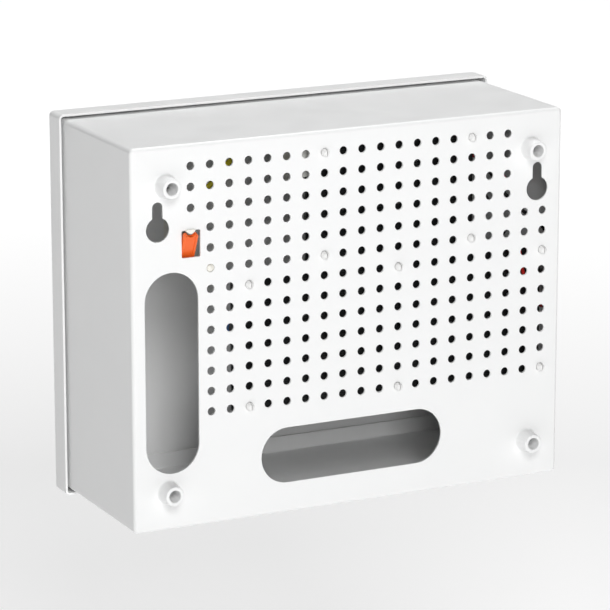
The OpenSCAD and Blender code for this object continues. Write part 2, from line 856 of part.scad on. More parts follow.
module black_wires() {
    color([0.06, 0.06, 0.06]) {
        wire(black_route_a, 0.9, steps = 5);
        wire(black_route_b, 0.9, steps = 5);
    }
}

module red_wire() {
    color([0.8, 0.08, 0.08]) wire(red_route, 0.9, steps = 5);
}

back_plate();
case_walls();
front_lips();
front_cover();
hinge_case_leaves();
hinge_cover_leaves();
hinge_pins();
case_rivets();
cover_rivets();
lock_housing();
lock_nut();
lock_plug();
lock_cam();
cam_screw();
distance_sleeves();
router_board();
power_board();
router_posts();
power_posts();
board_solder();
mains_terminal();
terminal_screws();
fuse_holder();
fuse();
transformer();
transformer_coil();
filter_capacitor();
capacitors();
power_heat_sink();
output_terminal();
network_jacks();
jack_contacts();
processor();
processor_heat_sink();
memory_chips();
radio_module();
power_inlet();
status_lights();
reset_switch();
reset_button();
pairing_switch();
pairing_button();
antenna_side();
antenna_bottom();
antenna_leads();
tamper_holder();
wall_tamper_lever();
lever_pin();
lever_spring();
tamper_sensor();
cover_switch_holder();
cover_switch_plunger();
earth_stud();
earth_terminal();
earth_wire();
black_wires();
red_wire();
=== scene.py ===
import math

import bmesh
import bpy
import numpy as np
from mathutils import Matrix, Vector
from mathutils.geometry import delaunay_2d_cdt


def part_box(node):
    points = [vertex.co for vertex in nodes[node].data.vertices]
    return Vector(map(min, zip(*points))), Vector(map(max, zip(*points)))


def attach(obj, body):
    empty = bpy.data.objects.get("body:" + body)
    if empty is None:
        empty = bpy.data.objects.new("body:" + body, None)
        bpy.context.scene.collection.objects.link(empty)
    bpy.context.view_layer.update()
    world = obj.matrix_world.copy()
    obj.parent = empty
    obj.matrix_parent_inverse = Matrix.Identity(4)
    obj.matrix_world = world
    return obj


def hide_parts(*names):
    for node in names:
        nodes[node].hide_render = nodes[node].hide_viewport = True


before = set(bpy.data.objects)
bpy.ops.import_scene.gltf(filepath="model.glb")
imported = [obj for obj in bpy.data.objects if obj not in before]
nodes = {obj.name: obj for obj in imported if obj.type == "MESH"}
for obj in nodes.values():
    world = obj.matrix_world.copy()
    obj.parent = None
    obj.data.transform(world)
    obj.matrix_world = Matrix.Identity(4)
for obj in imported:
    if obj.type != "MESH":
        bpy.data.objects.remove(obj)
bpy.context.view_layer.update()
mm = 0.001


# Camera: a long lens behind the left shoulder of the box, a little above it.
# It looks at the back plate from the wall side, as the box is seen before it is hung.
camera_target = Vector((0.0254, -0.008, 0.0092))
camera_azimuth = math.radians(153.54)
camera_elevation = math.radians(14.34)
camera_distance = 1.619
camera_back = Vector((
    math.sin(camera_azimuth) * math.cos(camera_elevation),
    -math.cos(camera_azimuth) * math.cos(camera_elevation),
    math.sin(camera_elevation),
))
camera_data = bpy.data.cameras.new("camera")
camera_data.lens = 199.9
camera_data.sensor_width = 36
camera = bpy.data.objects.new("camera", camera_data)
camera.location = camera_target + camera_back * camera_distance
camera.rotation_mode = "QUATERNION"
camera.rotation_quaternion = camera_back.to_track_quat("Z", "Y")
bpy.context.scene.collection.objects.link(camera)
bpy.context.scene.camera = camera


# Studio: a pale floor well below the box that glows further out, a dim even room and soft panels.
# The slot panel lights the back plate and shines in through the slots, and the top panel lights the top.
# The room gives little light, but it looks as pale as the floor behind the box.
def soft_panel(name, place, aim, size, power):
    """A square area light of the given side, at place, with its face turned to aim."""
    data = bpy.data.lights.new(name, "AREA")
    data.shape = "SQUARE"
    data.size = size
    data.energy = power
    panel = bpy.data.objects.new(name, data)
    panel.location = place
    panel.rotation_mode = "QUATERNION"
    panel.rotation_quaternion = (Vector(place) - Vector(aim)).to_track_quat("Z", "Y")
    bpy.context.scene.collection.objects.link(panel)
    return panel


soft_panel("slot_panel", (0.5, 1.5, 1.05), (0, 0, 0), 0.6, 14.5)
soft_panel("low_panel", (0.56, 1.72, 0.42), (0, 0, 0), 0.5, 8.5)
soft_panel("top_panel", (-0.4, -0.6, 1.7), (0, -0.05, 0), 0.9, 23.5)


def add_node(tree, kind, values=(), **settings):
    """A shader node with its settings, and with values for the inputs that nothing feeds."""
    node = tree.nodes.new("ShaderNode" + kind)
    for setting, value in settings.items():
        setattr(node, setting, value)
    for socket, value in values:
        node.inputs[socket].default_value = value
    return node


def connect(tree, *pairs):
    """Links each output to the input paired with it."""
    for output, target in pairs:
        tree.links.new(output, target)


room_on_box, room_as_seen = 0.07, 0.95
room = bpy.data.worlds.new("bright_room")
room.use_nodes = True
tree = room.node_tree
room_light = tree.nodes["Background"]
room_light.inputs["Color"].default_value = (1, 1, 1, 1)
path = add_node(tree, "LightPath")
strength = add_node(tree, "MapRange", (("To Min", room_on_box), ("To Max", room_as_seen)))
connect(tree, (path.outputs["Is Camera Ray"], strength.inputs["Value"]),
        (strength.outputs["Result"], room_light.inputs["Strength"]))
bpy.context.scene.world = room

floor_z = -0.32
floor_half = 6
# Distance from the middle and strength of the glow, where it starts to rise and where it stops
glow_near, glow_far = (0.9, 0.24), (2.1, 0.87)
floor_mesh = bpy.data.meshes.new("floor")
floor_mesh.from_pydata(
    [(-floor_half, -floor_half, floor_z), (floor_half, -floor_half, floor_z),
     (floor_half, floor_half, floor_z), (-floor_half, floor_half, floor_z)],
    [], [(0, 1, 2, 3)])
floor = bpy.data.objects.new("floor", floor_mesh)
bpy.context.scene.collection.objects.link(floor)
floor_paint = bpy.data.materials.new("floor_paint")
floor_paint.use_nodes = True
tree = floor_paint.node_tree
shader = tree.nodes["Principled BSDF"]
shader.inputs["Base Color"].default_value = (0.9, 0.9, 0.9, 1)
shader.inputs["Roughness"].default_value = 0.9
shader.inputs["Emission Color"].default_value = (1, 1, 1, 1)
place = add_node(tree, "TexCoord")
reach = add_node(tree, "VectorMath", operation="LENGTH")
glow = add_node(tree, "MapRange", (("From Min", glow_near[0]), ("To Min", glow_near[1]),
                                   ("From Max", glow_far[0]), ("To Max", glow_far[1])))
connect(tree, (place.outputs["Object"], reach.inputs[0]),
        (reach.outputs["Value"], glow.inputs["Value"]),
        (glow.outputs["Result"], shader.inputs["Emission Strength"]))
floor_mesh.materials.append(floor_paint)
bpy.context.scene.view_settings.view_transform = "Standard"


# Case: one sheet of 1.2 mm steel, punched, folded up on four sides and lipped at the front.
# It is powder coated white, which rounds every punched edge a little.
# The sheet is one closed skin: two flat faces with holes, a rim in each hole, and the folded walls.
case_lo, case_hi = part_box("case_walls")
plate_lo, plate_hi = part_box("back_plate")
sheet = plate_hi.y - plate_lo.y
case_w = case_hi.x - case_lo.x
case_h = case_hi.z - case_lo.z
plate_y = case_hi.y
edge_y = case_lo.y
bend_r = 1.9 * mm
corner_r = 2.3 * mm
lip_w = 9.2 * mm
edge_round = 0.28 * mm

grid_x0, grid_z0, pitch = 94.9 * mm, 92.7 * mm, 10 * mm
grid_xs = {column: grid_x0 - column * pitch for column in range(1, 21)}
grid_zs = {row: grid_z0 - row * pitch for row in range(1, 14)}
grid_r = 2 * mm
sleeve_x, sleeve_z = 97.75 * mm, 74.35 * mm
sleeve_hole_r = 3.85 * mm
keyhole_x, keyhole_z = 101.9 * mm, 53.8 * mm
keyhole_r, neck_r, neck_top = 5.875 * mm, 2.6 * mm, 10.55 * mm
slot_r, slot_straight = 13.75 * mm, 70.5 * mm
upright_slot, level_slot = (95.15 * mm, -16.45 * mm), (-0.4 * mm, -64.3 * mm)
window_x, window_z, window_w, window_h = 84.9 * mm, 45.45 * mm, 9.5 * mm, 13 * mm
window_r = 0.7 * mm


def arc(x, z, radius, start, end, count):
    """Points on a circle about (x, z), from the start angle to the end angle in degrees."""
    turn = np.radians(np.linspace(start, end, count))
    return np.stack([x + radius * np.cos(turn), z + radius * np.sin(turn)], 1)


def round_hole(x, z, radius, count):
    """Outline of a round hole with count corners, as a function of how far it is widened."""
    return lambda out: arc(x, z, radius + out, 0, 360 * (count - 1) / count, count)


def rectangle_line(width, height, radius, count=5):
    """A rectangle about the origin whose corners are quarter circles, run anticlockwise."""
    x, z = width / 2 - radius, height / 2 - radius
    corners = [(x, z, 0), (-x, z, 90), (-x, -z, 180), (x, -z, 270)]
    return np.concatenate([arc(cx, cz, radius, a, a + 90, count) for cx, cz, a in corners])


def keyhole(x, z):
    """A circle joined to a straight neck: the circle stops where its chord is as wide as the neck."""
    def outline(out):
        wide, narrow = keyhole_r + out, neck_r + out
        half = math.degrees(math.asin(narrow / wide))
        return np.concatenate([
            arc(x, z, wide, 90 + half, 450 - half, 37),
            arc(x, z + neck_top, narrow, 0, 180, 17)])
    return outline


def slot(x, z, turned):
    """Two half circles joined by straight sides, upright or, if turned, level."""
    def outline(out):
        line = np.concatenate([
            arc(0, slot_straight / 2, slot_r + out, 0, 180, 33),
            arc(0, -slot_straight / 2, slot_r + out, 180, 360, 33)])
        if turned:
            line = line[:, ::-1] * (1, -1)
        return line + (x, z)
    return outline


def window(out):
    """A rectangle with slightly rounded corners, for the tamper lever."""
    return rectangle_line(window_w + 2 * out, window_h + 2 * out, window_r + out) + (
        window_x, window_z)


def has_hole(column, row):
    """The grid leaves its corners free for the sleeves and keyholes."""
    return row < 4 if column == 1 else (row > 4 if column > 18 else True)


case_holes = [round_hole(x, z, grid_r, 20) for column, x in grid_xs.items()
              for row, z in grid_zs.items() if has_hole(column, row)]
case_holes += [round_hole(sx * sleeve_x, sz * sleeve_z, sleeve_hole_r, 32)
               for sx in (-1, 1) for sz in (-1, 1)]
case_holes += [keyhole(sx * keyhole_x, keyhole_z) for sx in (-1, 1)]
case_holes += [slot(*upright_slot, False), slot(*level_slot, True), window]


def at_depth(line, y):
    """Puts an outline in X and Z on the plane y."""
    return np.stack([line[:, 0], np.full(len(line), y), line[:, 1]], 1)


def skin(lines, closed=True):
    """Vertices and quads of the surface through a stack of lines with equal counts."""
    lines = np.asarray(lines)
    rows, count = lines.shape[:2]
    index = np.arange(rows * count).reshape(rows, count)
    side = np.roll(index, -1, 1) if closed else index[:, 1:]
    index = index if closed else index[:, :-1]
    quads = np.stack([index[:-1], side[:-1], side[1:], index[1:]], -1)
    return lines.reshape(-1, 3), quads.reshape(-1, 4)


def filled(outer, holes, y):
    """Flat face at y inside the outer line and outside the holes, by constrained triangles."""
    lines = [outer] + holes
    starts = np.cumsum([0] + [len(line) for line in lines])
    edges = [(int(s + i), int(s + (i + 1) % len(line)))
             for s, line in zip(starts, lines) for i in range(len(line))]
    flat = np.concatenate(lines)
    faces = np.array(delaunay_2d_cdt([Vector(p) for p in flat / mm], edges, [], 1, 1e-7)[2])
    # A triangle with all its corners on one hole, and in that hole's order, lies in the hole
    faces = np.sort(faces, 1)
    owner = np.searchsorted(starts[1:], faces, side="right")
    a, b, c = (flat[faces[:, i]] for i in range(3))
    area = (b[:, 0] - a[:, 0]) * (c[:, 1] - a[:, 1]) - (b[:, 1] - a[:, 1]) * (c[:, 0] - a[:, 0])
    in_hole = (owner[:, 0] > 0) & (owner[:, 0] == owner[:, 2]) & (area > 0)
    return at_depth(flat, y), faces[~in_hole]


def joined_mesh(name, parts, merge=1e-6):
    """One mesh from several (vertices, faces) parts, with shared lines merged."""
    verts, faces, start = [], [], 0
    for points, polys in parts:
        verts.append(np.asarray(points))
        faces += [[corner + start for corner in poly] for poly in polys]
        start += len(points)
    mesh = bpy.data.meshes.new(name)
    mesh.from_pydata(np.concatenate(verts).tolist(), [], faces)
    piece = bpy.data.objects.new(name, mesh)
    bpy.context.scene.collection.objects.link(piece)
    work = bmesh.new()
    work.from_mesh(mesh)
    if merge:
        bmesh.ops.remove_doubles(work, verts=work.verts, dist=merge)
    bmesh.ops.recalc_face_normals(work, faces=work.faces)
    work.to_mesh(mesh)
    work.free()
    return piece


def smoothed(piece, angle=35):
    """Smooth shading across rounds, with edges kept where faces meet at more than the angle."""
    mesh = piece.data
    mesh.polygons.foreach_set("use_smooth", np.ones(len(mesh.polygons), bool))
    mesh.set_sharp_from_angle(angle=math.radians(angle))
    normals = piece.modifiers.new("even_normals", "WEIGHTED_NORMAL")
    normals.keep_sharp = True
    return piece


def quarter(start_in, start_y, end_in, end_y, first, steps=4):
    """Points of a quarter ellipse between two (inset, y) places.
    It leaves along the inset if first is "in", and along y if first is "y"."""
    t = np.linspace(0, math.pi / 2, steps + 1)[1:]
    if first == "in":
        inset = start_in + (end_in - start_in) * np.sin(t)
        y = start_y + (end_y - start_y) * (1 - np.cos(t))
    else:
        inset = start_in + (end_in - start_in) * (1 - np.cos(t))
        y = start_y + (end_y - start_y) * np.sin(t)
    return list(zip(inset, y))


def folded_box(name, width, height, corner, profile, holes, round_r):
    """A folded sheet: the profile of (inset, y) places is carried round the box's outline.
    It starts on the outer flat face and ends on the inner one, and each hole has a rounded rim."""
    def outline(inset):
        return rectangle_line(width - 2 * inset, height - 2 * inset, max(corner - inset, 0.2 * mm))
    start_in, start_y = profile[0]
    end_in, end_y = profile[-1]
    outward = 1 if start_y > end_y else -1
    widened = [hole(round_r) for hole in holes]
    parts = [
        filled(outline(start_in), widened, start_y),
        filled(outline(end_in), widened, end_y),
        skin([at_depth(outline(inset), y) for inset, y in profile])]
    depth = start_y - end_y
    over = outward * min(round_r, abs(depth) / 2)
    rim = [(round_r, start_y)]
    rim += quarter(round_r, start_y, 0, start_y - over, "in", 2)
    rim += [(0, end_y + over)]
    rim += quarter(0, end_y + over, round_r, end_y, "y", 2)
    for hole in holes:
        parts.append(skin([at_depth(hole(out), y) for out, y in rim]))
    return smoothed(joined_mesh(name, parts))


inside = bend_r - sheet
case_profile = [(bend_r, plate_y)]
case_profile += quarter(bend_r, plate_y, 0, plate_y - bend_r, "in")
case_profile += [(0, edge_y + bend_r)]
case_profile += quarter(0, edge_y + bend_r, bend_r, edge_y, "y")
case_profile += [(lip_w - edge_round, edge_y)]
case_profile += quarter(lip_w - edge_round, edge_y, lip_w, edge_y + edge_round, "in", 2)
case_profile += quarter(lip_w, edge_y + sheet - edge_round, lip_w - edge_round, edge_y + sheet, "y", 2)
case_profile += [(bend_r, edge_y + sheet)]
case_profile += quarter(bend_r, edge_y + sheet, sheet, edge_y + sheet + inside, "in")
case_profile += [(sheet, plate_y - bend_r)]
case_profile += quarter(sheet, plate_y - bend_r, bend_r, plate_y - sheet, "y")
case = folded_box("case", case_w, case_h, corner_r, case_profile, case_holes, edge_round)


def node_group(name, inputs, outputs):
    """An empty shader node group with named sockets, as (group, input node, output node)."""
    group = bpy.data.node_groups.new(name, "ShaderNodeTree")
    for socket, kind, value in inputs:
        made = group.interface.new_socket(socket, in_out="INPUT", socket_type=kind)
        made.default_value = value
    for socket, kind in outputs:
        group.interface.new_socket(socket, in_out="OUTPUT", socket_type=kind)
    return group, group.nodes.new("NodeGroupInput"), group.nodes.new("NodeGroupOutput")


def noise_in(group, entry, detail, rough=0.55):
    """Noise on Object coordinates, at the scale that the group is given."""
    place = add_node(group, "TexCoord")
    noise = add_node(group, "TexNoise", (("Detail", detail), ("Roughness", rough)))
    connect(group, (place.outputs["Object"], noise.inputs["Vector"]),
            (entry.outputs["Scale"], noise.inputs["Scale"]))
    return noise.outputs["Fac"]


# Slow change of tone over a surface, between two colours
tone_group, entry, leave = node_group(
    "tone_drift",
    [("Scale", "NodeSocketFloat", 20.0), ("Colour A", "NodeSocketColor", (1, 1, 1, 1)),
     ("Colour B", "NodeSocketColor", (1, 1, 1, 1))],
    [("Colour", "NodeSocketColor")])
mix = add_node(tone_group, "Mix", data_type="RGBA")
connect(tone_group, (noise_in(tone_group, entry, 3), mix.inputs["Factor"]),
        (entry.outputs["Colour A"], mix.inputs["A"]), (entry.outputs["Colour B"], mix.inputs["B"]),
        (mix.outputs["Result"], leave.inputs["Colour"]))

# Patchy gloss: roughness between two limits
gloss_group, entry, leave = node_group(
    "patchy_gloss",
    [("Scale", "NodeSocketFloat", 60.0), ("Low", "NodeSocketFloat", 0.3),
     ("High", "NodeSocketFloat", 0.5)],
    [("Roughness", "NodeSocketFloat")])
spread = add_node(gloss_group, "MapRange", (("From Min", 0.3), ("From Max", 0.7)))
connect(gloss_group, (noise_in(gloss_group, entry, 4), spread.inputs["Value"]),
        (entry.outputs["Low"], spread.inputs["To Min"]),
        (entry.outputs["High"], spread.inputs["To Max"]),
        (spread.outputs["Result"], leave.inputs["Roughness"]))

# Fine relief, such as orange peel or spark-eroded texture
relief_group, entry, leave = node_group(
    "fine_relief",
    [("Scale", "NodeSocketFloat", 900.0), ("Strength", "NodeSocketFloat", 0.1),
     ("Depth", "NodeSocketFloat", 0.0001)],
    [("Normal", "NodeSocketVector")])
bump = add_node(relief_group, "Bump")
connect(relief_group, (noise_in(relief_group, entry, 2, 0.45), bump.inputs["Height"]),
        (entry.outputs["Strength"], bump.inputs["Strength"]),
        (entry.outputs["Depth"], bump.inputs["Distance"]),
        (bump.outputs["Normal"], leave.inputs["Normal"]))


def use_effect(tree, group, values, target):
    """Places an effect's group in a material, with its own values, and feeds the target from it."""
    effect = add_node(tree, "Group", node_tree=group)
    for socket, value in zip(effect.inputs, values):
        socket.default_value = value
    connect(tree, (effect.outputs[0], target))


def finish(name, dark, light, gloss, relief, tone_scale=25.0, gloss_scale=80.0, metal=0.0, coat=0.0):
    """A material whose tone drifts from dark to light, with patchy gloss and a fine relief.
    gloss is the lowest and highest roughness, and relief is (scale, strength, depth in metres)."""
    material = bpy.data.materials.new(name)
    material.use_nodes = True
    tree = material.node_tree
    shader = tree.nodes["Principled BSDF"]
    shader.inputs["Metallic"].default_value = metal
    shader.inputs["Coat Weight"].default_value = coat
    use_effect(tree, tone_group, (tone_scale, (*dark, 1), (*light, 1)), shader.inputs["Base Color"])
    use_effect(tree, gloss_group, (gloss_scale, *gloss), shader.inputs["Roughness"])
    use_effect(tree, relief_group, relief, shader.inputs["Normal"])
    return material


powder_coat = finish("powder_coat", (0.865, 0.87, 0.87), (0.895, 0.898, 0.895),
                     (0.34, 0.44), (1100.0, 0.12, 0.00012))


def fitted(piece, material, body, slot_name, *stands_for):
    """Finishes a piece, fixes it to its body and hides the nodes that it stands for."""
    piece.data.materials.append(material)
    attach(piece, body)
    if stands_for:
        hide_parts(*stands_for)


fitted(case, powder_coat, "case", "white_steel", "back_plate", "case_walls", "front_lips")


# Distance sleeves: turned steel tubes pressed into the plate before coating.
# The coat fills the corner at their foot, so they seem to grow out of the plate.
def spun(centre, profile, axis, count=24):
    """A body of revolution from (radius, distance) places: the distance runs along the axis."""
    turn = np.linspace(0, 2 * math.pi, count, endpoint=False)
    order = {"x": (1, 2, 0), "y": (2, 0, 1), "z": (0, 1, 2)}[axis]
    rings = np.array([np.stack([r * np.cos(turn), r * np.sin(turn), np.full(count, d)], 1)
                      for r, d in profile]) * mm
    placed = np.empty_like(rings)
    for source, target in enumerate(order):
        placed[:, :, target] = rings[:, :, source]
    return skin(placed + np.asarray(centre))


foot = [(6.1, -7.98), (5.75, -7.9), (5.5, -7.65), (5.36, -7.2), (5.25, -6.5)]
tip = [(4.75, -0.6), (4.66, -0.25), (4.4, -0.05), (4.1, 0), (3.35, 0), (3.05, -0.1), (2.9, -0.45)]
inner = [(2.9, -9.9), (3.05, -10.2), (4.2, -10.2), (4.4, -10.0), (4.4, -9.2), (3.8, -9.2), (3.8, -7.99)]
sleeves = smoothed(joined_mesh("distance_sleeves_coated", [
    spun((sx * sleeve_x, 0, sz * sleeve_z), foot + tip + inner + foot[:1], "y", 48)
    for sx in (-1, 1) for sz in (-1, 1)]), 50)
fitted(sleeves, powder_coat, "case", "white_steel", "distance_sleeves")


# Cover: a moulded tray that laps over the front of the case with a small gap all round.
# Its rim has a radius at the front, and it is painted to match the case.
cover_lo, cover_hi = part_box("front_cover")
lock_lo, lock_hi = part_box("lock_housing")
cover_w = cover_hi.x - cover_lo.x
cover_h = cover_hi.z - cover_lo.z
cover_r, cover_corner_r = 1.9 * mm, 2.4 * mm
rim_y = cover_hi.y
cover_y = cover_lo.y
lock_x = (lock_lo.x + lock_hi.x) / 2
lock_hole_r = 9.55 * mm
rim_round = 0.35 * mm
cover_profile = [(cover_r, cover_y)]
cover_profile += quarter(cover_r, cover_y, 0, cover_y + cover_r, "in")
cover_profile += [(0, rim_y - rim_round)]
cover_profile += quarter(0, rim_y - rim_round, rim_round, rim_y, "y", 3)
cover_profile += [(sheet - rim_round, rim_y)]
cover_profile += quarter(sheet - rim_round, rim_y, sheet, rim_y - rim_round, "in", 3)
cover_profile += [(sheet, cover_y + cover_r)]
cover_profile += quarter(sheet, cover_y + cover_r, cover_r, cover_y + sheet, "y")


cover = folded_box("cover", cover_w, cover_h, cover_corner_r, cover_profile,
                   [round_hole(lock_x, 0, lock_hole_r, 48)], edge_round)
cover_paint = finish("cover_paint", (0.87, 0.873, 0.872), (0.893, 0.896, 0.893),
                     (0.36, 0.46), (1300.0, 0.1, 0.0001))
fitted(cover, cover_paint, "cover", "white_cover", "front_cover")


# Hinges: pressed steel leaves, zinc plated, with a rolled knuckle round a loose pin.
# Domed rivets hold one leaf to the case wall and the other to the rim of the cover.
def dress(material, *names):
    """Gives every slot of the named nodes the material."""
    for name in names:
        for place in nodes[name].material_slots:
            place.material = material


zinc_plate = finish("zinc_plate", (0.55, 0.56, 0.57), (0.68, 0.69, 0.7),
                    (0.28, 0.5), (1600.0, 0.15, 0.00005), 180.0, 260.0, metal=1.0)
dress(zinc_plate, "hinge_case_leaves", "hinge_cover_leaves", "hinge_pins")


def dome(radius, height, steps=5, base=0.0):
    """Half profile of a dome: a quarter ellipse from the rim to the pole."""
    t = np.linspace(0, math.pi / 2, steps + 1)
    return [(radius * math.cos(a), base + height * math.sin(a)) for a in t[:-1]] + [(0, base + height)]


rivet_profile = [(0, 0.3), (2.4, 0.3), (2.45, 0)] + [(r, -d) for r, d in dome(2.3, 0.9)[1:]]


def rivets(name, node, body, places):
    """A domed head on the outside of a hinge leaf at each place."""
    piece = smoothed(joined_mesh(name, [spun(place, rivet_profile, "x") for place in places]))
    fitted(piece, zinc_plate, body, "zinc_steel", node)


hinge_zs, rivet_dz = (-58, 58), 11
case_rivet_in, cover_rivet_in, pin_r = 13 * mm, 8 * mm, 1.7 * mm
hinge_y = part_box("hinge_pins")[0].y + pin_r
rivets("case_rivet_heads", "case_rivets", "case",
       [(case_lo.x - sheet, hinge_y + case_rivet_in, (z + dz) * mm)
        for z in hinge_zs for dz in (-rivet_dz, rivet_dz)])
rivets("cover_rivet_heads", "cover_rivets", "cover",
       [(cover_lo.x - sheet, rim_y - cover_rivet_in, z * mm) for z in hinge_zs])


# Lock: a turned zinc housing with a bevelled bezel, clamped to the cover by a hexagonal nut.
# The plug has a keyway and drives a stamped cam that hooks behind the lip of the case.
polished_steel = finish("polished_steel", (0.62, 0.62, 0.62), (0.72, 0.72, 0.72),
                        (0.16, 0.3), (2200.0, 0.08, 0.00003), 90.0, 220.0, metal=1.0)
bezel_y = lock_lo.y / mm
housing_end = lock_hi.y / mm
housing_profile = [(6.58, housing_end - 0.3), (6.88, housing_end), (9.2, housing_end),
                   (9.5, housing_end - 0.3), (9.5, bezel_y + 1.4), (11.2, bezel_y + 1.4),
                   (11.5, bezel_y + 1.1), (11.45, bezel_y + 0.6), (10.9, bezel_y + 0.08),
                   (10.5, bezel_y), (8.6, bezel_y), (8.2, bezel_y + 0.12), (7.9, bezel_y + 0.45),
                   (7.1, bezel_y + 0.55), (6.58, bezel_y + 0.75)]
housing = smoothed(joined_mesh("lock_housing_turned", [
    spun((lock_x, 0, 0), housing_profile + housing_profile[:1], "y", 64)]))
fitted(housing, polished_steel, "cover", "lock_steel", "lock_housing")
dress(polished_steel, "lock_plug", "cam_screw")
dress(zinc_plate, "lock_nut", "lock_cam")


# Posts: moulded nylon stand-offs that snap into the plate and carry the boards.
# Each end is a split arrow head, and a collar rests on the sheet and under the board.
nylon = finish("nylon", (0.82, 0.82, 0.81), (0.88, 0.88, 0.87), (0.34, 0.46), (700.0, 0.1, 0.0001),
               60.0, 90.0)
board_lo, board_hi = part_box("router_board")
split_half = 0.28


def flat_cap(rings):
    """Closes the first and the last ring of a stack with one face each."""
    verts, quads = skin(rings)
    count = len(rings[0])
    last = len(verts) - count
    return verts, quads.tolist() + [list(range(count)), list(range(last, last + count))]


def half_head(x, z, profile, side):
    """One half of a split arrow head: each ring is an arc cut off by the split's flat side."""
    rings, count = [], 13
    for radius, y in profile:
        reach = math.acos(min(split_half / radius, 0.999))
        turn = np.linspace(-reach, reach, count)
        rings.append(np.stack([x + side * radius * np.cos(turn) * mm, np.full(count, y * mm),
                               z + radius * np.sin(turn) * mm], 1))
    return flat_cap(rings)


def post_parts(x, z):
    """Halves of both arrow heads and the turned body between them."""
    back, front = plate_y / mm, board_lo.y / mm
    out_head = [(1.8, back - 1.4), (1.82, back + 0.1), (2.02, back + 0.35), (2.05, back + 0.6),
                (1.85, back + 1.4), (1.4, back + 2.4), (1.0, back + 2.75), (0.5, back + 2.9)]
    in_head = [(1.8, front + 1.8), (1.86, front - 0.05), (2.3, front - 0.35), (2.34, front - 0.6),
               (1.9, front - 1.5), (1.3, front - 2.6), (0.9, front - 2.8)]
    inner, under = plate_lo.y / mm, board_hi.y / mm
    body = [(0, inner + 0.6), (1.8, inner + 0.6), (1.85, inner), (3.45, inner - 0.05), (3.6, inner - 0.3),
            (3.5, inner - 1.0), (2.9, inner - 1.25), (2.6, inner - 1.7), (2.6, under + 1.5),
            (2.8, under + 1.1), (3.3, under + 0.95), (3.4, under + 0.7), (3.4, under + 0.1),
            (3.3, under), (1.85, under), (1.8, under - 0.6), (0, under - 0.6)]
    return [half_head(x, z, head, side) for head in (out_head, in_head) for side in (-1, 1)] + [
        spun((x, 0, z), body, "y")]


for name, node, columns, rows in (("router_stand_offs", "router_posts", (4, 12, 20), (7, 13)),
                                  ("power_stand_offs", "power_posts", (8, 16), (1, 6))):
    posts = smoothed(joined_mesh(name, [part for column in columns for row in rows
                                        for part in post_parts(grid_xs[column], grid_zs[row])]))
    fitted(posts, nylon, "case", "white_nylon", node)


# Tamper lever: an orange moulding that swings on a steel pin behind the window.
# Its face is a shallow panel with a raised border, and a notch at the top clears the catch.
orange = finish("orange_plastic", (0.84, 0.115, 0.014), (0.93, 0.17, 0.024), (0.32, 0.42),
                (900.0, 0.1, 0.0001), 90.0, 140.0)
pin_lo, pin_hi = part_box("lever_pin")
lever_lo, lever_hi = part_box("wall_tamper_lever")
lever_pivot = (pin_lo + pin_hi) / 2
lever_pivot.x = (lever_lo.x + lever_hi.x) / 2
lever_half_w, lever_half_t = 3.75, 1.1
lever_top, lever_foot = 17.4, 1.2
notch_r, notch_depth, chamfer = 2.3, 1.6, 1.1
lever_angle = math.radians(66.2)


def lever_outline(inset, foot):
    """Outline of the blade, pulled in by the inset: a notch in the top and one corner cut off."""
    top, side, radius = lever_top - inset, lever_half_w - inset, notch_r + inset
    centre = lever_top - notch_depth + notch_r
    reach = math.degrees(math.asin((centre - top) / radius))
    cut = chamfer - 0.4 * inset
    notch = arc(0, centre, radius, -reach, -180 + reach, 15)
    return np.concatenate([
        [(side, foot), (side, top - 0.5), (side - 0.5, top)], notch,
        [(-side + cut, top), (-side, top - cut), (-side, foot)]])


def lever_place(flat, thick):
    """Blade coordinates (across, along, through) to the box: turned about the pin."""
    along, across = flat[:, 1] * mm, flat[:, 0] * mm
    out, up = math.cos(lever_angle), math.sin(lever_angle)
    through = thick * mm
    return np.stack([lever_pivot.x + across, lever_pivot.y + along * out + through * up,
                     lever_pivot.z + along * up - through * out], 1)


border, recess = 1.2, 0.5
blade_steps = [(0.35, -lever_half_t), (0.1, -lever_half_t + 0.1), (0, -lever_half_t + 0.35),
               (0, lever_half_t - 0.35), (0.1, lever_half_t - 0.1), (0.35, lever_half_t),
               (border - 0.2, lever_half_t), (border, lever_half_t - 0.15),
               (border + 0.12, lever_half_t - recess)]
blade = flat_cap([lever_place(lever_outline(inset, lever_foot + 0.5 * inset), through)
                  for inset, through in blade_steps])
hub = spun(lever_pivot, [(0.95, -3.75), (2.0, -3.75), (2.2, -3.55), (2.2, 3.55), (2.0, 3.75),
                         (0.95, 3.75), (0.95, -3.75)], "x", 32)
tail_angle = math.radians(145)
tail_out = Vector((0, math.cos(tail_angle), math.sin(tail_angle)))
tail_up = Vector((0, -tail_out.z, tail_out.y))


def tail_ring(along, across, thick):
    """A rounded rectangle across the tail, at a distance from the pin."""
    corners = rectangle_line(2 * across * mm, 2 * thick * mm, 0.4 * mm)
    return (np.array(lever_pivot + tail_out * along * mm)
            + corners[:, :1] * np.array((1.0, 0, 0)) + corners[:, 1:] * np.array(tail_up))


tail = flat_cap([tail_ring(1.2, 3.7, 1.3), tail_ring(7.4, 3.7, 1.2), tail_ring(7.85, 3.5, 1.0),
                 tail_ring(8.0, 3.1, 0.6)])
lever = smoothed(joined_mesh("tamper_lever", [blade, hub, tail]), 30)
fitted(lever, orange, "wall_lever", "orange_plastic", "wall_tamper_lever")


# Tamper holder: an ivory bracket with two cheeks, snapped into a hole of the plate.
# The catch between its cheeks tapers to a blunt tip in the lever's notch.
ivory = finish("ivory_plastic", (0.83, 0.81, 0.74), (0.89, 0.875, 0.81), (0.36, 0.48),
               (800.0, 0.1, 0.0001), 70.0, 110.0)


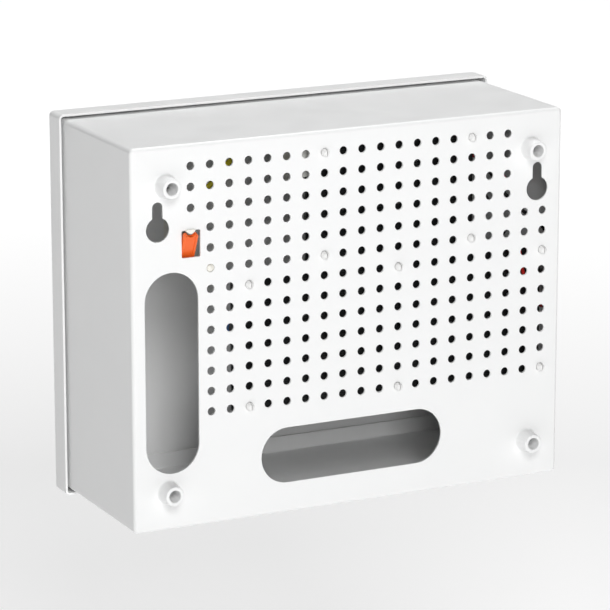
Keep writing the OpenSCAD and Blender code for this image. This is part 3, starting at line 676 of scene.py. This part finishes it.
def rounded_block(lo, hi, radius=0.3, steps=2):
    """A block in millimetres with its upright and flat edges rounded: stacked outlines along Y."""
    (x0, y0, z0), (x1, y1, z1) = lo, hi
    centre, width, height = ((x0 + x1) / 2 * mm, (z0 + z1) / 2 * mm), x1 - x0, z1 - z0
    radius = min(radius, 0.45 * width, 0.45 * height, 0.45 * (y1 - y0))
    t = np.linspace(0, math.pi / 2, steps + 1)
    low = list(zip(radius * (1 - np.sin(t)), y0 + radius * (1 - np.cos(t))))
    high = [(inset, y1 - (y - y0)) for inset, y in reversed(low)]
    return flat_cap([
        at_depth(rectangle_line((width - 2 * inset) * mm, (height - 2 * inset) * mm,
                                max(radius - inset, 0.02) * mm, 3) + centre, y * mm)
        for inset, y in low + high])


catch_x = lever_pivot.x / mm
catch_line = np.array([(-2.3, 52.6), (-2.3, 51.9), (-1.5, 51.2), (-0.65, 50.6), (0.65, 50.6),
                       (1.5, 51.2), (2.3, 51.9), (2.3, 52.6)])
catch = flat_cap([at_depth((catch_line + (catch_x, 0)) * mm, y * mm)
                  for y in (-12.4, -9.6, -6.9, -6.5)])
holder_back, holder_front, holder_foot, holder_top = -26, -9.3, 31.6, 54
cheek_t, near_cheek_x, far_cheek_x = 1.1, 89.8, 80.6
holder_parts = [
    rounded_block((x, holder_back, holder_foot), (x + cheek_t, front, top)) for x, front, top in (
        (near_cheek_x, holder_front, holder_top), (far_cheek_x, holder_front, 38),
        (far_cheek_x, -20, holder_top))]
holder_parts += [
    rounded_block((81.2, holder_back, holder_foot), (90.4, -24.6, holder_top)),
    rounded_block((81.2, -25, 52.4), (90.4, holder_front, holder_top)),
    rounded_block((71.4, -11, 29.8), (81.0, -9.2, 35.6), 0.5),
    catch,
    spun((grid_xs[2] + 0.4 * mm, 0, grid_zs[6]), [
        (0, -9.5), (1.55, -9.5), (1.55, -8.2), (1.45, -7.7), (0.9, -7.4), (0, -7.35)], "y")]
holder = smoothed(joined_mesh("tamper_bracket", holder_parts), 30)
fitted(holder, ivory, "case", "ivory_plastic", "tamper_holder")
dress(polished_steel, "lever_pin", "lever_spring")


# Printed boards: glass fibre with black solder mask over copper tracks.
# The tracks come from a pattern of long cells in patches, and they only show as a faint tint.
def board_finish(name, mask_dark, mask_light, track):
    """A mask whose colour turns to the track's on the cells' edges, where a noise is over a half."""
    material = finish(name, mask_dark, mask_light, (0.26, 0.4), (500.0, 0.05, 0.0001), 60.0, 120.0)
    tree = material.node_tree
    shader = tree.nodes["Principled BSDF"]
    place = add_node(tree, "TexCoord")
    level = add_node(tree, "Mapping", (("Rotation", (math.radians(90), 0, 0)),))
    cells = add_node(tree, "TexBrick", (("Scale", 260), ("Mortar Size", 0.05),
                                        ("Brick Width", 2.6), ("Row Height", 0.3)))
    patches = add_node(tree, "TexNoise", (("Scale", 70),))
    gate = add_node(tree, "Math", ((1, 0.5),), operation="GREATER_THAN")
    both = add_node(tree, "Math", operation="MULTIPLY")
    mix = add_node(tree, "Mix", (("B", (*track, 1)),), data_type="RGBA")
    mask_colour = shader.inputs["Base Color"].links[0].from_socket
    connect(tree, (place.outputs["Object"], level.inputs["Vector"]),
            (level.outputs["Vector"], cells.inputs["Vector"]),
            (place.outputs["Object"], patches.inputs["Vector"]),
            (patches.outputs["Fac"], gate.inputs[0]), (gate.outputs["Value"], both.inputs[0]),
            (cells.outputs["Fac"], both.inputs[1]), (both.outputs["Value"], mix.inputs["Factor"]),
            (mask_colour, mix.inputs["A"]), (mix.outputs["Result"], shader.inputs["Base Color"]))
    return material


solder_mask = board_finish("solder_mask", (0.02, 0.021, 0.022), (0.03, 0.031, 0.032),
                           (0.055, 0.056, 0.054))
dress(solder_mask, "router_board", "power_board")


# Solder: rounded fillets of tin round each pin under the boards.
# Rows follow the parts above them: jacks, terminals, transformer and headers.
solder = finish("solder", (0.6, 0.6, 0.62), (0.76, 0.76, 0.78), (0.22, 0.36), (1500.0, 0.2, 0.00005),
                300.0, 300.0, metal=1.0)
top_y = board_lo.y / mm
under_y = board_hi.y / mm
# Each row: first pin's X and Z, the step to the next pin along X and Z, and how many pins
solder_rows = [(45, -24, -1.2, 3, 2), (33, 10, -5, 0, 9), (-60, 5, -3, 0, 8), (-60, -12, -3, 0, 8),
               (-92, 14, 0, -5, 5), (12, 52, -6, 0, 9), (14, 76, 0, -5, 3), (-66, 76, 0, -5, 3),
               (-28, 72, -6, 0, 5), (-28, 44, -6, 0, 5), (0, 66, -7, 0, 3), (-12, -4, -6, 0, 5)]
jack_xs = (39.5, 23, 6.5, -10, -45)
fillet = [(0, under_y - 0.2), (0.9, under_y - 0.2), (0.9, under_y), (0.62, under_y + 0.3),
          (0.42, under_y + 0.8), (0.25, under_y + 1.05), (0, under_y + 1.1)]
joints = [(x + i * dx, z + i * dz) for x, z, dx, dz, count in solder_rows for i in range(count)]
jack_pin_z, jack_pin_dx, jack_pin_dz = -27, 3, 2.5
joints += [(x + jack_pin_dx * (i - 1.5), jack_pin_z + jack_pin_dz * (i % 2))
           for x in jack_xs for i in range(4)]
pins = smoothed(joined_mesh("solder_joints", [
    spun((x * mm, 0, z * mm), fillet, "y", 10) for x, z in joints]))
fitted(pins, solder, "case", "solder", "board_solder")


# Power parts: a moulded mains terminal, a glass fuse in spring clips, a wound transformer,
# a boxed filter capacitor, upright cans in printed sleeves, and an extruded heat sink.
terminal_white = finish("terminal_white", (0.7, 0.7, 0.67), (0.8, 0.8, 0.77), (0.34, 0.46),
                        (900.0, 0.12, 0.0001))
terminal_green = finish("terminal_green", (0.02, 0.2, 0.06), (0.03, 0.27, 0.09), (0.32, 0.44),
                        (900.0, 0.12, 0.0001))
ferrite = finish("ferrite", (0.03, 0.03, 0.033), (0.055, 0.055, 0.058), (0.5, 0.7),
                 (1400.0, 0.4, 0.00015), 200.0, 200.0)
coil_tape = finish("coil_tape", (0.62, 0.5, 0.14), (0.74, 0.62, 0.22), (0.25, 0.42),
                   (300.0, 0.2, 0.0002), 120.0, 100.0, coat=0.3)
box_film = finish("capacitor_box", (0.58, 0.42, 0.08), (0.66, 0.5, 0.11), (0.3, 0.4),
                  (700.0, 0.08, 0.0001), 60.0, 90.0)
bare_aluminium = finish("bare_aluminium", (0.66, 0.67, 0.68), (0.78, 0.79, 0.8), (0.3, 0.46),
                        (1300.0, 0.2, 0.00005), 140.0, 260.0, metal=1.0)
dress(terminal_white, "mains_terminal")
dress(terminal_green, "output_terminal")
dress(polished_steel, "terminal_screws", "fuse_holder")
dress(ferrite, "transformer")
dress(bare_aluminium, "power_heat_sink")

fuse_lo, fuse_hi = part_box("fuse")
fuse_centre = (fuse_lo + fuse_hi) / 2
fuse_caps = smoothed(joined_mesh("fuse_caps", [
    spun(fuse_centre, [(0, side * 5.3), (2.3, side * 5.3), (2.6, side * 5.5), (2.6, side * 9.9),
                       (2.4, side * 10.4), (0, side * 10.5)], "x") for side in (-1, 1)]
    + [spun(fuse_centre, [(0, -5.6), (0.12, -5.6), (0.12, 5.6), (0, 5.6)], "x", 8)]))
fitted(fuse_caps, polished_steel, "case", "fuse_glass", "fuse")
fuse_glass = smoothed(joined_mesh("fuse_tube", [
    spun(fuse_centre, [(0, -5.4), (2.4, -5.4), (2.45, -5.2), (2.45, 5.2), (2.4, 5.4), (0, 5.4)], "x")]))
glass = bpy.data.materials.new("fuse_glass")
glass.use_nodes = True
glass_shader = glass.node_tree.nodes["Principled BSDF"]
glass_shader.inputs["Base Color"].default_value = (0.86, 0.93, 0.92, 1)
glass_shader.inputs["Transmission Weight"].default_value = 0.9
glass_shader.inputs["Metallic"].default_value = 0.0
use_effect(glass.node_tree, gloss_group, (300.0, 0.03, 0.1), glass_shader.inputs["Roughness"])
fitted(fuse_glass, glass, "case", "fuse_glass", "fuse")


def moulded(name, node, body, slot_name, material, blocks, radius=0.3):
    """Rounded blocks, given by lowest and highest corners in millimetres, as one piece."""
    piece = smoothed(joined_mesh(name, [rounded_block(lo, hi, radius) for lo, hi in blocks]), 30)
    fitted(piece, material, body, slot_name, node)


def corners(node):
    """Lowest and highest corners of a node in millimetres."""
    return [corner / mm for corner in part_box(node)]


coil_x, coil_z = -40, 62
moulded("transformer_winding", "transformer_coil", "case", "coil_tape", coil_tape, [
    ((coil_x - 11.7, top_y - 23, coil_z - 8.7), (coil_x + 11.7, top_y - 5, coil_z + 8.7)),
    ((coil_x - 13, top_y - 2.9, coil_z - 13), (coil_x + 13, top_y, coil_z + 13)),
    ((coil_x - 9, top_y - 5.4, coil_z - 8.7), (coil_x + 9, top_y - 2.6, coil_z + 8.7))], 1.2)
moulded("filter_capacitor_box", "filter_capacitor", "case", "capacitor_box", box_film,
        [corners("filter_capacitor")], 0.6)

sleeve_film = finish("can_sleeve", (0.012, 0.016, 0.05), (0.02, 0.026, 0.075), (0.18, 0.3),
                     (400.0, 0.06, 0.0001), 60.0, 90.0)
# Each can: X and Z of its axis, radius and height
cans = [(-4, 42, 8, 24), (-63, 55.4, 5, 18), (-63, 43.8, 5, 18), (-50, 39, 4, 12)]
sleeves_of_cans, tops_of_cans = [], []
for x, z, r, h in cans:
    end = top_y - h
    sleeves_of_cans.append(spun((x * mm, 0, z * mm), [
        (0, top_y), (r - 0.4, top_y), (r, top_y - 0.5), (r, top_y - 1.4), (r - 0.35, top_y - 1.9),
        (r - 0.35, top_y - 2.3), (r, top_y - 2.8), (r, end + 0.6), (r - 0.15, end + 0.25),
        (r - 0.5, end + 0.05), (r - 1.1, end + 0.02), (r - 1.15, end + 0.3), (0, end + 0.3)], "y", 40))
    tops_of_cans.append(spun((x * mm, 0, z * mm), [
        (0, end + 0.5), (r - 1.2, end + 0.5), (r - 1.2, end + 0.15), (r - 1.35, end + 0.08),
        (0, end + 0.08)], "y", 40))
for name, parts, material in (("can_sleeves", sleeves_of_cans, sleeve_film),
                              ("can_tops", tops_of_cans, bare_aluminium)):
    fitted(smoothed(joined_mesh(name, parts)), material, "case", "capacitor_can", "capacitors")


# Router parts: black packages with tinned legs, a finned heat sink on the processor,
# a shielded radio module, moulded headers, jacks with gilt contacts and small passive parts.
mould_black = finish("mould_black", (0.012, 0.012, 0.013), (0.025, 0.025, 0.026), (0.42, 0.56),
                     (1500.0, 0.3, 0.00008), 120.0, 160.0)
jack_black = finish("jack_black", (0.02, 0.02, 0.022), (0.035, 0.035, 0.037), (0.32, 0.44),
                    (1100.0, 0.15, 0.0001), 80.0, 120.0)
gilt = finish("gilt_contact", (0.78, 0.55, 0.2), (0.88, 0.66, 0.28), (0.16, 0.28),
              (1500.0, 0.05, 0.00003), 300.0, 300.0, metal=1.0)
tin = finish("tin_shield", (0.62, 0.62, 0.63), (0.74, 0.74, 0.75), (0.24, 0.4),
             (900.0, 0.15, 0.00008), 120.0, 200.0, metal=1.0)
dress(jack_black, "network_jacks", "power_inlet", "reset_switch", "pairing_switch", "tamper_sensor")
dress(gilt, "jack_contacts")
dress(tin, "radio_module")
dress(bare_aluminium, "processor_heat_sink")

chip_t = 1.2
# Each chip: X and Z of its middle, width and height
chips = [(-26, 10, 12, 10), (-26, -6, 12, 10), (-6, 0, 14, 14), (16, -2, 20, 9), (18, 14, 6, 5),
         (-4, 18, 8, 5), (40, 4, 9, 9)]
moulded("chip_packages", "memory_chips", "case", "black_plastic", mould_black,
        [((x - w / 2, top_y - chip_t, z - h / 2), (x + w / 2, top_y - 0.1, z + h / 2))
         for x, z, w, h in chips], 0.18)
moulded("processor_package", "processor", "case", "black_plastic", mould_black,
        [corners("processor")], 0.2)


def small_block(lo, hi):
    """A plain block of six faces, for parts under a millimetre."""
    corners = np.array([[(lo, hi)[i][0], (lo, hi)[j][1], (lo, hi)[k][2]]
                        for i in (0, 1) for j in (0, 1) for k in (0, 1)]) * mm
    return corners, [[0, 1, 3, 2], [4, 6, 7, 5], [0, 4, 5, 1], [2, 3, 7, 6], [0, 2, 6, 4], [1, 5, 7, 3]]


leg_pitch = 1.27
legs = []
for x, z, w, h in chips:
    for step in np.arange(-w / 2 + 0.9, w / 2 - 0.6, leg_pitch):
        for side in (-1, 1):
            edge, out = z + side * h / 2, z + side * (h / 2 + 0.8)
            legs.append(small_block((x + step - 0.2, top_y - 0.25, min(edge, out)),
                                    (x + step + 0.2, top_y - 0.02, max(edge, out))))
fitted(joined_mesh("chip_legs", legs, 0), solder, "case", "solder")

scatter = np.random.default_rng(7)
passive_bodies, passive_ends = [], []
bank_dx, bank_dz, left_out = 2.6, 2.4, 0.2
# Each bank: X and Z of its first part, columns and rows
for bank_x, bank_z, columns, rows in ((-30, 20, 8, 2), (4, 8, 5, 3), (24, 6, 4, 3), (-14, -14, 9, 2),
                                      (20, -12, 8, 2), (-90, -2, 4, 4), (-78, 18, 6, 2), (48, -14, 4, 2)):
    for i in range(columns):
        for j in range(rows):
            if scatter.random() < left_out:
                continue
            x, z = bank_x + bank_dx * i, bank_z + bank_dz * j
            passive_bodies.append(small_block((x - 0.45, top_y - 0.5, z - 0.4),
                                              (x + 0.45, top_y, z + 0.4)))
            for side in (-1, 1):
                passive_ends.append(small_block((x + side * 0.62 - 0.18, top_y - 0.52, z - 0.42),
                                                (x + side * 0.62 + 0.18, top_y, z + 0.42)))
ceramic = finish("ceramic", (0.3, 0.2, 0.12), (0.4, 0.28, 0.18), (0.4, 0.5), (900.0, 0.1, 0.0001),
                 300.0, 200.0)
for name, parts, material in (("passive_bodies", passive_bodies, ceramic),
                              ("passive_ends", passive_ends, solder)):
    fitted(joined_mesh(name, parts, 0), material, "case", "solder")


# Status lights and buttons: round diffused lenses, a small reset cap and a broad blue pairing cap.
# All are moulded: the lenses stand on the board, and each cap is pressed on its switch's stem.
lens = finish("light_lens", (0.5, 0.72, 0.5), (0.62, 0.82, 0.6), (0.16, 0.26), (500.0, 0.05, 0.0001),
              200.0, 200.0, coat=0.4)
lens_profile = [(0, top_y), (1.8, top_y), (1.8, top_y - 0.9), (1.7, top_y - 1.0), (1.5, top_y - 1.05),
                (1.5, top_y - 5.0), (1.44, top_y - 5.45), (1.2, top_y - 5.95), (0.85, top_y - 6.25),
                (0.4, top_y - 6.45), (0, top_y - 6.5)]
lens_x0, lens_z, lens_pitch = 44, 21, 7
lenses = smoothed(joined_mesh("status_lenses", [
    spun(((lens_x0 - lens_pitch * i) * mm, 0, lens_z * mm), lens_profile, "y")
    for i in range(5)]), 50)
fitted(lenses, lens, "case", "light_lens", "status_lights")

blue = finish("blue_plastic", (0.03, 0.14, 0.42), (0.05, 0.19, 0.52), (0.3, 0.42), (900.0, 0.12, 0.0001))


def button(name, node, body, slot_name, material, x, z, profile):
    """A turned cap on a line along Y, from (radius, y) places."""
    cap = smoothed(joined_mesh(name, [spun((x * mm, 0, z * mm), profile, "y", 40)]))
    fitted(cap, material, body, slot_name, node)


button("reset_cap", "reset_button", "reset", "black_plastic", mould_black, 54, 13, [
    (0, top_y - 2.8), (1.7, top_y - 2.8), (1.7, top_y - 4.9), (1.55, top_y - 5.1), (0, top_y - 5.2)])
button("pairing_cap", "pairing_button", "pairing", "blue_plastic", blue, 52, -4, [
    (0, top_y - 3.7), (3.4, top_y - 3.7), (3.4, top_y - 6.7), (5.0, top_y - 6.7), (5.2, top_y - 6.9),
    (5.2, top_y - 9.7), (5.0, top_y - 10.05), (4.6, top_y - 10.2), (2.5, top_y - 10.0),
    (0, top_y - 9.85)])


# Antennas: thin printed boards on foam pads, one stuck to a side wall and one to the bottom.
# They are glass fibre with green mask over copper.
antenna_mask = board_finish("antenna_mask", (0.012, 0.07, 0.03), (0.02, 0.1, 0.045), (0.09, 0.26, 0.1))
dress(antenna_mask, "antenna_side", "antenna_bottom")


# Wires: stranded copper in plastic insulation, laid by hand between the terminals.
# Each is a round tube on a smooth curve through its route, and the earth wire is striped.
def tube(route, radius, sides=14, steps=10):
    """A tube on the smooth curve through the route.
    Each span is the cubic 0.5 (2b + (c - a)t + (2a - 5b + 4c - d)t^2 + (3b - a - 3c + d)t^3),
    and each ring is radius (cos u n + sin u m), with n and m carried along without twist."""
    points = np.array(route, float)
    padded = np.concatenate([points[:1], points, points[-1:]])
    t = np.linspace(0, 1, steps, endpoint=False)[:, None]
    spans = []
    for a, b, c, d in zip(padded, padded[1:], padded[2:], padded[3:]):
        spans.append(0.5 * (2 * b + (c - a) * t + (2 * a - 5 * b + 4 * c - d) * t ** 2
                            + (3 * b - a - 3 * c + d) * t ** 3))
    path = np.concatenate(spans + [points[-1:]])
    ahead = np.gradient(path, axis=0)
    ahead /= np.linalg.norm(ahead, axis=1)[:, None]
    turn = np.linspace(0, 2 * math.pi, sides, endpoint=False)
    side = np.array((0.1, 0.3, 1.0))
    rings, around = [], []
    length = np.concatenate([[0], np.cumsum(np.linalg.norm(np.diff(path, axis=0), axis=1))])
    for place, along, distance in zip(path, ahead, length):
        side = side - side.dot(along) * along
        side /= np.linalg.norm(side)
        other = np.cross(along, side)
        rings.append(place + radius * (np.cos(turn)[:, None] * side + np.sin(turn)[:, None] * other))
        around.append(np.stack([np.cos(turn), np.sin(turn), np.full(sides, distance)], 1))
    verts, faces = flat_cap(np.array(rings) * mm)
    return verts, faces, np.array(around).reshape(-1, 3)


def cable(name, node, slot_name, material, tubes):
    """Tubes as one piece. Its attribute "around" holds cos u, sin u and the distance along."""
    piece = joined_mesh(name, [(verts, faces) for verts, faces, _ in tubes], 0)
    around = piece.data.attributes.new("around", "FLOAT_VECTOR", "POINT")
    around.data.foreach_set("vector", np.concatenate([a for _, _, a in tubes]).ravel())
    smoothed(piece, 50)
    fitted(piece, material, "case", slot_name, node)


insulation_values = ((0.3, 0.42), (500.0, 0.12, 0.0001), 150.0, 200.0)
black_insulation = finish("black_insulation", (0.012, 0.012, 0.013), (0.022, 0.022, 0.024),
                          *insulation_values)
red_insulation = finish("red_insulation", (0.66, 0.02, 0.016), (0.78, 0.035, 0.025), *insulation_values)
earth_insulation = finish("earth_insulation", (0.78, 0.66, 0.02), (0.85, 0.74, 0.03), *insulation_values)
stripe_from = 0.62
tree = earth_insulation.node_tree
shader = tree.nodes["Principled BSDF"]
around = add_node(tree, "Attribute", attribute_name="around")
split = add_node(tree, "SeparateXYZ")
stripe = add_node(tree, "Math", ((1, stripe_from),), operation="GREATER_THAN")
mix = add_node(tree, "Mix", (("B", (0.015, 0.22, 0.04, 1)),), data_type="RGBA")
connect(tree, (shader.inputs["Base Color"].links[0].from_socket, mix.inputs["A"]),
        (around.outputs["Vector"], split.inputs["Vector"]),
        (split.outputs["Y"], stripe.inputs[0]), (stripe.outputs["Value"], mix.inputs["Factor"]),
        (mix.outputs["Result"], shader.inputs["Base Color"]))

earth_route = [(24.55, -25.9, 71.5), (29, -25.9, 71.8), (32.6, -25, 75), (33.4, -24, 80),
    (38, -23, 84), (48, -22, 84.5), (58.8, -22, 79.2), (68.8, -22, 69.2), (79, -25, 62.5),
    (92, -31, 65), (103, -34, 69), (110, -34.6, 70.4), (112.4, -36.6, 70)]
black_route_a = [(-70.8, -26, 75.6), (-74, -25.6, 75.2), (-80, -22.4, 66), (-88, -17.5, 52),
    (-99, -15.8, 41), (-108, -15.6, 34), (-112.4, -17, 28.6), (-112.6, -21, 20), (-112.4, -26, 12),
    (-110.6, -27.5, 6.4), (-108.05, -27.5, 6)]
black_route_b = [(-70.8, -26, 65.6), (-74, -26, 64.8), (-78, -24, 56), (-82, -20, 46), (-86, -17, 37),
    (-88.6, -17, 31.8), (-89.2, -20.5, 29.4), (-88.6, -24, 26), (-88, -24.6, 20.5),
    (-88, -24.5, 17.05)]
red_route = [(-70.8, -26, 70.6), (-74.4, -26.4, 70.2), (-82, -27, 66), (-90, -25.5, 60),
    (-97, -22, 50), (-97.5, -19, 40), (-95.2, -15.5, 30), (-95.8, -13.6, 21), (-97.9, -13.5, 11),
    (-102.4, -13.5, 1), (-108, -14, -6), (-112, -17, -9), (-112.4, -23, -9), (-112.2, -26.6, -5.4),
    (-110.6, -27.5, -2.4), (-108.05, -27.5, -2)]
side_lead_route = [(-84, -24.6, -28), (-88, -26, -32), (-96, -32, -42), (-103, -46, -48),
    (-107.6, -60, -48), (-110.4, -67.4, -48), (-112.4, -68, -48)]
bottom_lead_route = [(-76, -24.6, -28), (-76, -26.5, -34), (-76, -26, -46), (-76, -24, -62),
    (-76, -22, -80), (-76, -22, -90)]
cable("earth_cable", "earth_wire", "earth_insulation", earth_insulation, [tube(earth_route, 1.3)])
cable("black_cables", "black_wires", "black_insulation", black_insulation,
      [tube(black_route_a, 0.9), tube(black_route_b, 0.9)])
cable("red_cable", "red_wire", "red_insulation", red_insulation, [tube(red_route, 0.9)])
cable("antenna_cables", "antenna_leads", "black_plastic", black_insulation,
      [tube(side_lead_route, 0.6), tube(bottom_lead_route, 0.6)])


# Earth stud: a plated steel screw welded to the wall, with a nut and a washer.
# They clamp the brass ring terminal that is crimped on the earth wire.
brass = finish("brass_terminal", (0.6, 0.42, 0.14), (0.74, 0.54, 0.2), (0.24, 0.4),
               (900.0, 0.1, 0.00006), 200.0, 200.0, metal=1.0)
dress(zinc_plate, "earth_stud")
dress(brass, "earth_terminal")


# Cover switch: an ivory housing on the case wall, with a sprung white plunger.
# The plunger is pushed back when the cover is closed.
dress(ivory, "cover_switch_holder")
dress(nylon, "cover_switch_plunger")
